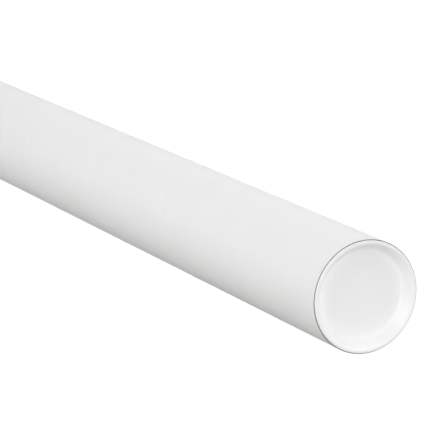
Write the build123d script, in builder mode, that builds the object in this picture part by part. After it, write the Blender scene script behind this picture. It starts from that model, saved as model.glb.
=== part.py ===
"""A white cardboard mailing tube standing on end, closed by a push-in plastic plug cap at each end.

The frame is in millimetres, with +Z up along the tube's axis. Its origin is the centre of the ring
that the tube stands on, which is the outer face of the bottom cap's flange.
"""

import os
from math import cos, radians, tan

from build123d import *

# The tube is wound from paperboard and cut square at both ends.
bore_diameter = 76.2  # 3 inches inside
wall_thickness = 1.78  # 0.070 inches of glued plies
tube_length = 762.0  # 30 inches from one cut end to the other

# Each cap is one moulding: a flange, a barrel that plugs the bore, and a dish that hangs inside the
# barrel from the same flange. A pocket, open to the inside of the tube, parts the dish and the barrel.
flange_setback = 0.8  # how far the flange's edge lies inside the tube's outer surface
flange_thickness = 1.0
barrel_wall = 1.2
barrel_depth = 10.5  # from the flange's face to the barrel's end
grip_band = 2.5  # straight stretch of the barrel below the flange, which fits the bore
fit_clearance = 0.05  # radial gap between the barrel and the bore
draft_angle = 3.0  # degrees by which the barrel narrows outside
mouth_setback = 1.4  # how far the dish's mouth lies inside the barrel's outer surface
recess_depth = 6.8  # from the flange's face down to the dish's floor
dish_slope = 34.0  # degrees between the dish's side and the tube's axis
dish_thickness = 1.3

# Rounded edges of a cap
flange_edge_radius = 0.4
mouth_edge_radius = 2.0
floor_corner_radius = 3.5
lead_in_radius = 0.45  # the corner that enters the bore first
barrel_end_radius = 0.2
pocket_radius = 0.5  # at the pocket's closed end

# Sizes that follow
bore_radius = bore_diameter / 2
tube_radius = bore_radius + wall_thickness
overall_length = tube_length + 2 * flange_thickness
flange_radius = tube_radius - flange_setback
barrel_radius = bore_radius - fit_clearance
barrel_bore_radius = barrel_radius - barrel_wall
tip_radius = barrel_radius - tan(radians(draft_angle)) * (barrel_depth - flange_thickness - grip_band)
mouth_radius = barrel_radius - mouth_setback
inward = tan(radians(dish_slope))  # the dish's side goes in by this for each unit of depth
floor_radius = mouth_radius - inward * recess_depth

# The dish's back lies a thickness behind its side and its floor.
back_mouth_radius = mouth_radius + dish_thickness / cos(radians(dish_slope))
back_depth = recess_depth + dish_thickness
back_radius = back_mouth_radius - inward * back_depth
back_corner_radius = floor_corner_radius + dish_thickness
pocket_depth = (back_mouth_radius - barrel_bore_radius) / inward

# Half section of a cap as (radius, depth) corners, each with its rounding. Depth is measured from
# the flange's outer face into the tube. The flange's inner face seats on the tube's cut end.
cap_corners = [
    ((0, recess_depth), 0),
    ((floor_radius, recess_depth), floor_corner_radius),
    ((mouth_radius, 0), mouth_edge_radius),
    ((flange_radius, 0), flange_edge_radius),
    ((flange_radius, flange_thickness), 0),
    ((barrel_radius, flange_thickness), 0),
    ((barrel_radius, flange_thickness + grip_band), 0),
    ((tip_radius, barrel_depth), lead_in_radius),
    ((barrel_bore_radius, barrel_depth), barrel_end_radius),
    ((barrel_bore_radius, pocket_depth), pocket_radius),
    ((back_radius, back_depth), back_corner_radius),
    ((0, back_depth), 0),
]

# Section planes of the caps: local X is the radius, and local Y runs from the face into the tube.
cap_sections = {
    "bottom_cap": Plane(origin=(0, 0, 0), x_dir=(1, 0, 0), z_dir=(0, -1, 0)),
    "top_cap": Plane(origin=(0, 0, overall_length), x_dir=(1, 0, 0), z_dir=(0, 1, 0)),
}

os.makedirs("parts", exist_ok=True)

# Tube: a plain ring carried from one flange to the other
with BuildPart() as tube:
    with BuildSketch(Plane.XY.offset(flange_thickness)):
        Circle(tube_radius)
        Circle(bore_radius, mode=Mode.SUBTRACT)
    extrude(amount=tube_length)

tube.part.label = "tube"
export_step(tube.part, "parts/tube.step")

# Caps: the same half section turned about the tube's axis at each end
for name, section in cap_sections.items():
    with BuildPart() as cap:
        with BuildSketch(section):
            with BuildLine():
                FilletPolyline(
                    *[corner for corner, rounding in cap_corners],
                    radius=[rounding for corner, rounding in cap_corners],
                    close=True,
                )
            make_face()
        revolve(axis=Axis.Z)

    cap.part.label = name
    export_step(cap.part, f"parts/{name}.step")
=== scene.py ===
"""A white cardboard mailing tube, wound from paperboard, with a white plastic plug cap in each end.

The tube stands on end. Every length is in metres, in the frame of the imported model, with +Z up the axis.
"""

from math import cos, pi, radians, sin

import bmesh
import bpy
import numpy as np
from mathutils import Matrix, Vector


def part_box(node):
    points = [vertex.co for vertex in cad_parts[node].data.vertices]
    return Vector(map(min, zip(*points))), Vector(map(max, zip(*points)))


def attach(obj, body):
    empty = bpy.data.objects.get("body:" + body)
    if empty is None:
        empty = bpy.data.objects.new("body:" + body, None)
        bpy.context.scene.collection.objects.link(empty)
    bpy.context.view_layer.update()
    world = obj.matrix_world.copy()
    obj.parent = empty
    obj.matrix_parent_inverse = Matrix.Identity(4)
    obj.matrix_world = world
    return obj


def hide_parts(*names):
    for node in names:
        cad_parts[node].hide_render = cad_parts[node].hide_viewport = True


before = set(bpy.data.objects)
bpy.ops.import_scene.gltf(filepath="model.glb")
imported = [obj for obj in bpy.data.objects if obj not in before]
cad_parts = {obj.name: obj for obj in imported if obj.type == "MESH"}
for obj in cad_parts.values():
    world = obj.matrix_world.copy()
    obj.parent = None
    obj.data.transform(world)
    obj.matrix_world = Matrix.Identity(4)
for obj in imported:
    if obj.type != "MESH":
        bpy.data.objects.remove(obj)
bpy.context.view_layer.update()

MM = 0.001

# --------------------------------------------------------------------------------------------------
# Sizes
# --------------------------------------------------------------------------------------------------

tube_low, tube_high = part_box("tube")
bottom_cut = tube_low.z
top_cut = tube_high.z
tube_radius = tube_high.x
bore_radius = 38.1 * MM
wall = tube_radius - bore_radius

# The white outer wrap is a strip wound on a right-handed helix, whose edges overlap a little.
wrap_pitch = 131.6 * MM  # the strip's advance along the axis in one turn
wrap_start = 21.7 * MM  # height of the strip's edge on the +X side
overlap_width = 8.0 * MM  # along the axis
overlap_rise = 0.10 * MM  # the thickness of the wrap
overlap_ramp = 3.0 * MM  # where the covered edge shows through softly
wrap_edge = 0.22 * MM  # the visible cut edge of the wrap

# The innermost ply meets itself in an open butt seam.
lining_start = wrap_start + 0.46 * wrap_pitch  # height of the seam on the +X side
lining_gap = 0.9 * MM
lining_depth = 0.22 * MM

# The cut ends
ply_count = 5
glue_groove = 0.05 * MM  # how deep the glue lines lie
cut_rounding = 0.14 * MM

# Each ring of the mesh has its points at these angles, of which the last is the first again.
COLUMNS = 256
angles = np.linspace(0.0, 2.0 * pi, COLUMNS + 1)


# --------------------------------------------------------------------------------------------------
# Shapes
# --------------------------------------------------------------------------------------------------


def ease(x, start, end):
    """0 before start, 1 after end, and the curve 3t^2 - 2t^3 between them."""
    t = np.clip((x - start) / (end - start), 0.0, 1.0)
    return t * t * (3.0 - 2.0 * t)


def across_strip(angle, height, start, pitch):
    """Distance along the axis from a helix to a point, between minus and plus half the pitch.

    The helix is at height start + pitch * angle / (2 pi), and repeats with the pitch.
    """
    gap = height - start - pitch * angle / (2.0 * pi)
    return gap - pitch * np.floor(gap / pitch + 0.5)


def wrap_radius(angle, height):
    """Radius of the outer wrap: the tube's own on the overlap, and less by the wrap's thickness elsewhere.

    The overlap lies below its visible edge. It ends there in a short slope, and swells softly from the
    edge that it covers.
    """
    gap = across_strip(angle, height, wrap_start, wrap_pitch)
    swell = ease(gap, -overlap_width - overlap_ramp, -overlap_width)
    edge = 1.0 - ease(gap, 0.0, wrap_edge)
    return tube_radius - overlap_rise * (1.0 - swell * edge)


def lining_radius(angle, height):
    """Radius of the bore, which is deeper by a part of the lining's thickness in the open butt seam."""
    gap = np.abs(across_strip(angle, height, lining_start, wrap_pitch))
    return bore_radius + lining_depth * (1.0 - ease(gap, 0.35 * lining_gap, 0.5 * lining_gap))


def helix_rows(offsets, start, low, high):
    """Heights of grid rows that run parallel to a helix, cut off at low and high, one column per angle."""
    first = np.floor((low - start) / wrap_pitch) - 1
    last = np.ceil((high - start) / wrap_pitch) + 1
    turn = np.arange(first, last)
    row = (start + wrap_pitch * turn[:, None] + offsets[None, :]).ravel()
    return np.clip(row[:, None] + wrap_pitch * angles[None, :] / (2.0 * pi), low, high)


def ringed(radius, height):
    """Points on circles about the axis, at (r cos a, r sin a, h), for rows of radii r and heights h."""
    radius, height, angle = np.broadcast_arrays(radius, height, angles[None, :])
    return np.stack([radius * np.cos(angle), radius * np.sin(angle), height], -1)


def skin(name, points, zones, materials):
    """A closed skin through a grid of points, whose last row joins its first.

    The last column repeats the first. Doubles are merged and normals made to face out. zones gives each
    row's material by its number.
    """
    rows, columns = points.shape[:2]
    index = np.arange(rows * columns).reshape(rows, columns)
    after = np.roll(index, -1, 0)
    faces = np.stack([index[:, :-1], index[:, 1:], after[:, 1:], after[:, :-1]], -1).reshape(-1, 4)
    mesh = bpy.data.meshes.new(name)
    mesh.from_pydata(points.reshape(-1, 3), [], faces)
    mesh.polygons.foreach_set("material_index", np.repeat(zones, columns - 1).astype(np.int32))
    for material in materials:
        mesh.materials.append(material)
    merged = bmesh.new()
    merged.from_mesh(mesh)
    bmesh.ops.remove_doubles(merged, verts=merged.verts, dist=1e-6)
    bmesh.ops.recalc_face_normals(merged, faces=merged.faces)
    merged.to_mesh(mesh)
    merged.free()
    mesh.shade_smooth()
    piece = bpy.data.objects.new(name, mesh)
    bpy.context.scene.collection.objects.link(piece)
    return piece


def cut_end(height, facing):
    """Rows of a cut end, from the wrap in to the bore.

    A quarter circle rounds the outer corner. From there to the bore the face dips to its glue lines, by the
    groove's depth times the eighth power of cos(pi n s), where s runs from 0 to 1 and n counts the plies.
    """
    corner = np.linspace(0.0, pi / 2.0, 5)[:-1, None]
    outer = wrap_radius(angles, height - facing * cut_rounding)[None, :]
    inner = lining_radius(angles, height)[None, :]
    rim_radius = outer - cut_rounding * (1.0 - np.cos(corner))
    rim_height = height - facing * cut_rounding * (1.0 - np.sin(corner)) + 0.0 * outer
    share = np.linspace(0.0, 1.0, 8 * ply_count + 1)[:, None]
    groove = np.cos(pi * share * ply_count) ** 8
    groove[[0, -1]] = 0.0  # no glue line at the wrap or at the bore
    face_radius = (outer - cut_rounding) + (inner - outer + cut_rounding) * share
    face_height = height - facing * glue_groove * groove + 0.0 * face_radius
    return np.vstack([rim_radius, face_radius]), np.vstack([rim_height, face_height])


def wound_tube(materials):
    """The tube as one closed skin: up the wrap, in over the top cut, down the bore, out at the bottom cut.

    Its rows run parallel to the two seams, close together at their edges and wide apart between them.
    """
    by_overlap = np.array([-12.0, -11.0, -10.0, -9.0, -8.0, -4.0])
    by_edge = np.array([-0.6, 0.0, 0.07, 0.15, 0.22, 0.5, 2.0])
    plain = np.linspace(10.0, wrap_pitch / MM - 16.0, 9)
    wrap_rows = np.concatenate([by_overlap, by_edge, plain]) * MM
    seam_rows = np.array([-2.0, -1.0, -0.85, -0.7, 0.7, 0.85, 1.0, 2.0]) * lining_gap / 2.0
    lining_rows = np.concatenate([seam_rows, np.linspace(0.1, 0.9, 6) * wrap_pitch])

    up = helix_rows(wrap_rows, wrap_start, bottom_cut + cut_rounding, top_cut - cut_rounding)
    top_radius, top_height = cut_end(top_cut, 1.0)
    down = helix_rows(lining_rows, lining_start, bottom_cut, top_cut)[::-1]
    bottom_radius, bottom_height = cut_end(bottom_cut, -1.0)

    outside = wrap_radius(angles, up)
    inside = lining_radius(angles, down)
    radius = np.vstack([outside, top_radius, inside, bottom_radius[::-1]])
    height = np.vstack([up, top_height, down, bottom_height[::-1]])
    zones = np.concatenate([
        np.zeros(len(up)),
        np.ones(len(top_height)),
        np.full(len(down), 2),
        np.ones(len(bottom_height)),
    ])
    zones[len(up) + len(top_height) - 1] = 2  # the step from the top cut into the bore
    return skin("wound_tube", ringed(radius, height), zones, materials)


# --------------------------------------------------------------------------------------------------
# Materials
# --------------------------------------------------------------------------------------------------


class Value:
    """A socket that carries a number. Arithmetic on it adds Math nodes."""

    def __init__(self, finish, socket):
        self.finish = finish
        self.socket = socket

    def math(self, operation, *values):
        sockets = dict(enumerate(values))
        return self.finish.node("ShaderNodeMath", {"operation": operation}, sockets)

    def __add__(self, other):
        return self.math("ADD", self, other)

    def __sub__(self, other):
        return self.math("SUBTRACT", self, other)

    def __rsub__(self, other):
        return self.math("SUBTRACT", other, self)

    def __mul__(self, other):
        return self.math("MULTIPLY", self, other)

    def __truediv__(self, other):
        return self.math("DIVIDE", self, other)

    def __rtruediv__(self, other):
        return self.math("DIVIDE", other, self)

    def __pow__(self, other):
        return self.math("POWER", self, other)

    def __abs__(self):
        return self.math("ABSOLUTE", self)

    __radd__ = __add__
    __rmul__ = __mul__

    def turned_from(self, other):
        """The angle whose tangent is this value over the other."""
        return self.math("ARCTAN2", self, other)

    def wave(self):
        return self.math("SINE", self)

    def part(self):
        """What is left above the whole number below."""
        return self.math("FRACT", self)

    def least(self, other):
        return self.math("MINIMUM", self, other)

    def rise(self, start, end):
        """0 at start and 1 at end, smooth between them and level beyond."""
        return self.finish.node(
            "ShaderNodeMapRange",
            {"interpolation_type": "SMOOTHSTEP"},
            {"Value": self, "From Min": start, "From Max": end},
        )

    def bump_at(self, centre, half):
        """1 at centre, falling smoothly to 0 at half to either side."""
        return 1.0 - abs(self - centre).rise(0.0, half)


class Finish:
    """The nodes of one material or world."""

    def __init__(self, owner):
        owner.use_nodes = True
        self.owner = owner
        self.tree = owner.node_tree
        self.tree.nodes.clear()

    def node(self, kind, settings=None, sockets=None, output=0):
        """One node, from its type, its settings and its sockets' values or links. Gives one output."""
        made = self.tree.nodes.new(kind)
        for name, value in (settings or {}).items():
            setattr(made, name, value)
        for name, value in (sockets or {}).items():
            if isinstance(value, Value):
                self.tree.links.new(value.socket, made.inputs[name])
            else:
                made.inputs[name].default_value = value
        return Value(self, made.outputs[output]) if made.outputs else None

    def place(self):
        """The object's own coordinates, as a vector and as x, y and z."""
        point = self.node("ShaderNodeTexCoord", output="Object")
        parts = [self.node("ShaderNodeSeparateXYZ", None, {"Vector": point}, axis) for axis in "XYZ"]
        return [point] + parts

    def noise(self, point, scale, detail=2.0, roughness=0.5):
        """Fractal noise about 0, from about -1 to 1."""
        raw = self.node(
            "ShaderNodeTexNoise",
            {"noise_dimensions": "3D"},
            {"Vector": point, "Scale": scale, "Detail": detail, "Roughness": roughness},
        )
        return (raw - 0.5) * 2.0

    def specks(self, point, scale, size, share):
        """1 inside small round specks: cells of that scale, of which a share hold one."""
        spread = {"Vector": point, "Scale": scale}
        cells = self.node("ShaderNodeTexVoronoi", {"feature": "F1"}, spread)
        tint = self.node("ShaderNodeTexVoronoi", {"feature": "F1"}, spread, "Color")
        lot = self.node("ShaderNodeSeparateXYZ", None, {"Vector": tint})
        return (1.0 - cells.rise(size * 0.6, size)) * lot.math("GREATER_THAN", lot, 1.0 - share)

    def scaled(self, point, factors):
        return self.node("ShaderNodeVectorMath", {"operation": "MULTIPLY"}, {0: point, 1: factors})

    def unwound(self, point, height):
        """Coordinates turned back about the axis, so that the strip's helix runs straight up."""
        angle = (height - wrap_start) * (-2.0 * pi / wrap_pitch)
        turn = {"Vector": point, "Angle": angle}
        return self.node("ShaderNodeVectorRotate", {"rotation_type": "Z_AXIS"}, turn)

    def mixed(self, share, first, second):
        """The first colour at share 0 and the second at 1. A Mix node takes colours at inputs 6 and 7."""
        colours = {"Factor": share, 6: first, 7: second}
        return self.node("ShaderNodeMix", {"data_type": "RGBA"}, colours, output=2)

    def shaded(self, colour, factor):
        """A colour made darker or lighter by a value near 1."""
        grey = self.node("ShaderNodeCombineXYZ", sockets={"X": factor, "Y": factor, "Z": factor})
        return self.node("ShaderNodeVectorMath", {"operation": "MULTIPLY"}, {0: colour, 1: grey})

    def finished(self, colour, roughness, relief, depth, strength):
        """The shader and its output. relief runs from 0 to 1, and depth is its size in metres."""
        bump = {"Height": relief, "Distance": depth, "Strength": strength}
        normal = self.node("ShaderNodeBump", None, bump)
        sockets = {"Base Color": colour, "Roughness": roughness, "Normal": normal}
        shader = self.node("ShaderNodeBsdfPrincipled", None, sockets)
        self.node("ShaderNodeOutputMaterial", None, {"Surface": shader})
        return self.owner

    def seen_rays(self):
        """Camera, glossy and transmission rays, each as 1 or 0."""
        kinds = ("Is Camera Ray", "Is Glossy Ray", "Is Transmission Ray")
        return [self.node("ShaderNodeLightPath", output=kind) for kind in kinds]


def new_finish(name):
    return Finish(bpy.data.materials.new(name))


def from_axis(x, y):
    """Distance from the tube's axis."""
    return (x * x + y * y) ** 0.5


def strip_gap(height, angle, start):
    """As across_strip, for a material: the distance along the axis from the helix, in millimetres."""
    turns = (height - start) / wrap_pitch - angle / (2.0 * pi)
    return ((turns + 0.5).part() - 0.5) * (wrap_pitch / MM)


def white_wrap():
    """Smooth white paper, cloudy and a little streaked along the strip, with its overlapped seam: the
    overlap lighter, partly its doubled ply's own tone and partly a painted highlight, and a painted shade
    just above the wrap's edge.
    """
    f = new_finish("white_wrap")
    point, x, y, z = f.place()
    gap = strip_gap(z, y.turned_from(x), wrap_start)
    along = f.scaled(f.unwound(point, z), (1.0, 1.0, 0.12))
    cloud = f.noise(point, 38.0, 3.0, 0.55)
    streak = f.noise(along, 160.0, 3.0, 0.6)
    fibre = f.noise(point, 1900.0, 3.0, 0.62)
    covered = -overlap_width / MM
    # Lighter over the overlap: partly the doubled ply's own tone, partly a painted highlight where the
    # raised overlap catches light.
    overlap_tone_and_painted_highlight = gap.rise(covered - 2.0, covered + 1.0) * (1.0 - gap.rise(-0.3, 0.3))
    # Painted shade: a narrow darker strip just above the wrap's visible edge, where the step would shade
    # the paper.
    painted_edge_shade = gap.bump_at(1.6, 2.2)
    speck = f.specks(point, 150.0, 0.10, 0.05)
    tone = 1.0 + cloud * 0.010 + streak * 0.006 + fibre * 0.006 + overlap_tone_and_painted_highlight * 0.006 - painted_edge_shade * 0.006 - speck * 0.05
    paper = f.mixed(cloud * 0.5 + 0.5, (0.815, 0.822, 0.815, 1.0), (0.828, 0.826, 0.822, 1.0))
    relief = 0.5 + fibre * 0.30 + streak * 0.15 + cloud * 0.1
    roughness = 0.72 + fibre * 0.05 - overlap_tone_and_painted_highlight * 0.03
    return f.finished(f.shaded(paper, tone), roughness, relief, 0.03 * MM, 0.5)


def cut_edge():
    """Grey-brown chipboard seen on its cut: plies with glue lines between them, and the wrap outside."""
    f = new_finish("cut_edge")
    point, x, y, z = f.place()
    radius = from_axis(x, y)
    ply = (radius - bore_radius) * (ply_count / (wall - overlap_rise))
    glue = 1.0 - abs(ply.part() - 0.5).rise(0.36, 0.5)
    fibre = f.noise(f.scaled(point, (1.0, 1.0, 0.4)), 2600.0, 3.0, 0.65)
    blotch = f.noise(point, 240.0, 2.0)
    chip = f.mixed(fibre * 0.5 + 0.5, (0.245, 0.215, 0.185, 1.0), (0.345, 0.315, 0.280, 1.0))
    tone = 0.72 + glue * 0.28 + blotch * 0.05
    outer_ply = radius.rise(tube_radius - 0.14 * MM, tube_radius - 0.08 * MM)
    colour = f.mixed(outer_ply, f.shaded(chip, tone), (0.66, 0.645, 0.62, 1.0))
    relief = 0.5 + fibre * 0.4
    return f.finished(colour, 0.88 + fibre * 0.05, relief, 0.06 * MM, 0.7)


def bore_lining():
    """The inside: grey-brown chipboard with flecks, streaked along the strip, and a darker open seam."""
    f = new_finish("bore_lining")
    point, x, y, z = f.place()
    gap = abs(strip_gap(z, y.turned_from(x), lining_start))
    along = f.scaled(f.unwound(point, z), (1.0, 1.0, 0.15))
    fibre = f.noise(along, 900.0, 3.0, 0.6)
    cloud = f.noise(point, 60.0, 3.0)
    fleck = f.specks(point, 420.0, 0.16, 0.22)
    base = f.mixed(cloud * 0.5 + 0.5, (0.395, 0.355, 0.305, 1.0), (0.475, 0.435, 0.380, 1.0))
    tone = 1.0 + fibre * 0.08 - fleck * 0.22 - (1.0 - gap.rise(0.3, 0.6)) * 0.25
    relief = 0.5 + fibre * 0.35
    return f.finished(f.shaded(base, tone), 0.86 + fibre * 0.05, relief, 0.05 * MM, 0.6)


def cap_plastic(name):
    """White moulded plastic with a soft sheen: faint turned rings from the mould, and light rubbing."""
    f = new_finish(name)
    point, x, y, z = f.place()
    radius = from_axis(x, y)
    ring_width = 0.55 * MM
    rings = (radius * (2.0 * pi / ring_width)).wave()
    cloud = f.noise(point, 55.0, 2.0)
    grain = f.noise(point, 2400.0, 2.0)
    rub = f.noise(f.scaled(point, (1.0, 0.25, 1.0)), 900.0, 3.0, 0.7)
    tone = 1.0 + cloud * 0.004 + grain * 0.004
    plastic = f.mixed(cloud * 0.5 + 0.5, (0.916, 0.919, 0.922, 1.0), (0.924, 0.927, 0.930, 1.0))
    relief = 0.5 + rings * 0.10 + grain * 0.25
    roughness = 0.40 + cloud * 0.03 + rub * 0.05
    return f.finished(f.shaded(plastic, tone), roughness, relief, 0.012 * MM, 0.5)


# --------------------------------------------------------------------------------------------------
# The pieces
# --------------------------------------------------------------------------------------------------

tube = wound_tube([white_wrap(), cut_edge(), bore_lining()])
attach(tube, "tube")
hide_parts("tube")

for cap_name in ("top_cap", "bottom_cap"):
    cap_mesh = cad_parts[cap_name].data
    cap_mesh.materials.clear()
    cap_mesh.materials.append(cap_plastic(cap_name + "_plastic"))

# --------------------------------------------------------------------------------------------------
# Stage, light and camera
# --------------------------------------------------------------------------------------------------

white = (1.0, 1.0, 1.0, 1.0)
pale_grey = (0.72, 0.72, 0.72, 1.0)
lamp_white = (1.0, 1.0, 1.0)
lamp_warm = (1.0, 0.99, 0.96)

floor_half = 20.0  # half the floor's side
floor_glow = 0.5  # what the floor adds of its own to the rays that show it
glow_rise = (1.5, 5.0)  # the distances from the axis between which that grows to full white

lamp_size = 1.6
lamp_distance = 2.6
lamp_aim = Vector((0.0, 0.0, 0.6))

camera_place = Vector((0.0, -0.9818, 2.3069))
camera_aim = Vector((-0.0047, -0.1230, 0.763))
camera_roll = radians(114.38)
camera_lens = 217.2  # millimetres, on a sensor 36 mm wide


def pale_floor():
    """A wide pale floor that keeps the tube's shadow and shows white where nothing shades it."""
    h = floor_half
    mesh = bpy.data.meshes.new("floor")
    mesh.from_pydata([(-h, -h, 0.0), (h, -h, 0.0), (h, h, 0.0), (-h, h, 0.0)], [], [(0, 1, 2, 3)])
    floor = bpy.data.objects.new("floor", mesh)
    bpy.context.scene.collection.objects.link(floor)
    f = new_finish("pale_floor")
    point, x, y, z = f.place()
    away = from_axis(x, y).rise(*glow_rise)
    camera, glossy, through = f.seen_rays()
    strength = (camera + glossy + through).least(1.0) * floor_glow + camera * away * (1.0 - floor_glow)
    matte = f.node("ShaderNodeBsdfDiffuse", None, {"Color": pale_grey})
    glow = f.node("ShaderNodeEmission", None, {"Color": white, "Strength": strength})
    both = f.node("ShaderNodeAddShader", None, {0: matte, 1: glow})
    f.node("ShaderNodeOutputMaterial", None, {"Surface": both})
    mesh.materials.append(f.owner)


def white_world():
    """White to the rays that show it, and no light to the rest."""
    world = bpy.data.worlds.new("studio_air")
    bpy.context.scene.world = world
    f = Finish(world)
    camera, glossy, through = f.seen_rays()
    shown = (camera + glossy + through).least(1.0)
    air = f.node("ShaderNodeBackground", None, {"Color": white, "Strength": shown})
    f.node("ShaderNodeOutputWorld", None, {"Surface": air})


def lamp(name, azimuth, elevation, power, colour=lamp_white):
    """A square soft box aimed at the upper part of the tube.

    Azimuth is measured from the -Y side towards -X, and elevation above the floor, both in degrees.
    """
    a = radians(azimuth)
    e = radians(elevation)
    away = Vector((-sin(a) * cos(e), -cos(a) * cos(e), sin(e)))
    data = bpy.data.lights.new(name, "AREA")
    data.shape = "SQUARE"
    data.size = lamp_size
    data.energy = power
    data.color = colour
    box = bpy.data.objects.new(name, data)
    box.location = lamp_aim + away * lamp_distance
    box.rotation_mode = "QUATERNION"
    box.rotation_quaternion = away.to_track_quat("Z", "Y")
    box.visible_camera = False
    bpy.context.scene.collection.objects.link(box)


def studio_camera():
    """A long lens from above and in front, rolled so that the tube runs up to the left."""
    data = bpy.data.cameras.new("studio_camera")
    data.sensor_width = 36.0
    data.lens = camera_lens
    data.clip_end = 100.0
    camera = bpy.data.objects.new("studio_camera", data)
    level = (camera_aim - camera_place).to_track_quat("-Z", "Y").to_matrix()
    turn = level @ Matrix.Rotation(camera_roll, 3, "Z")
    camera.matrix_world = Matrix.Translation(camera_place) @ turn.to_4x4()
    bpy.context.scene.collection.objects.link(camera)
    bpy.context.scene.camera = camera


pale_floor()
white_world()
lamp("front_box", 0.0, 8.0, 48.4)
lamp("top_box", 0.0, 89.0, 35.1)
lamp("left_box", 90.0, 30.0, 8.7)
lamp("left_low_box", 90.0, 8.0, 6.4)
lamp("back_left_box", 120.0, 8.0, 32.1)
lamp("right_fill", -90.0, 55.0, 10.9, lamp_warm)
lamp("back_fill", 180.0, 8.0, 9.6)
studio_camera()

bpy.context.scene.view_settings.view_transform = "Standard"
